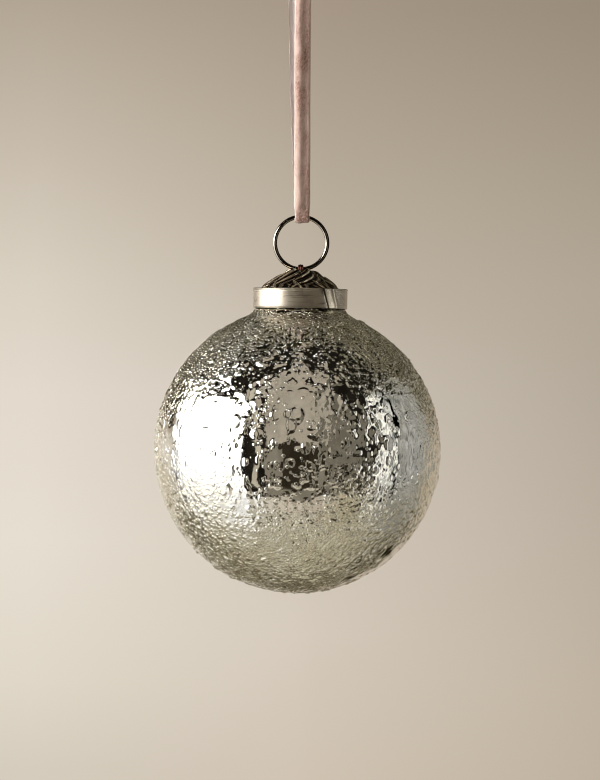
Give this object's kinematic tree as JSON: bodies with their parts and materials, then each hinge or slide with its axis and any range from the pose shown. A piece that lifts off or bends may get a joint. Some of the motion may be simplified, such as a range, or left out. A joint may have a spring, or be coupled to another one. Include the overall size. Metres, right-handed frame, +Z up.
{
  "type": "glass ball ornament",
  "caption": "Hanging ornament: a silvered pebbled glass ball with a metal cap and ring on a looped velvet ribbon.",
  "frame": {"origin": "inside top of the ribbon's loop, under its knot, where a hook or twig carries the ornament", "axes": "+Z up along the ribbon and the ball's axis, +X to the right of the front view, in the hanging ring's plane, and the front faces -Y"},
  "size_m": [0.1, 0.1, 0.2345],
  "materials": {
    "glass_ball": "pebbled clear glass, silvered on the inside, so it shows as a mirror",
    "collar_metal": "polished nickel",
    "crown_metal": "antiqued dark nickel, embossed, bright on its high edges",
    "clip_wire": "dulled spring wire",
    "ring_wire": "polished nickel wire",
    "velvet": "dusty pink velvet"
  },
  "bodies": {
    "ribbon": {"velvet_ribbon": "velvet", "ribbon_knot": "velvet"},
    "ring": {"hanging_ring": "ring_wire"},
    "clip": {"spring_clip": "clip_wire"},
    "cap": {"cap_collar": "collar_metal", "cap_crown": "crown_metal"},
    "ball": {"glass_ball": "glass_ball"}
  },
  "joints": [
    {"name": "ring_turn", "type": "hinge", "parent": "ribbon", "child": "ring", "pos_m": [0, 0, -0.09915], "axis": [0, 1, 0], "range_deg": [-105, 105]},
    {"name": "clip_swing", "type": "hinge", "parent": "ring", "child": "clip", "pos_m": [0, 0, -0.1083], "axis": [1, 0, 0], "range_deg": [-80, 80]},
    {"name": "ball_turn", "type": "hinge", "parent": "clip", "child": "cap", "pos_m": [0, 0, -0.1716], "axis": [0, 0, 1], "continuous": true},
    {"name": "ball_pull", "type": "slide", "parent": "cap", "child": "ball", "axis": [0, 0, -1], "range_m": [0, 0.024]}
  ]
}
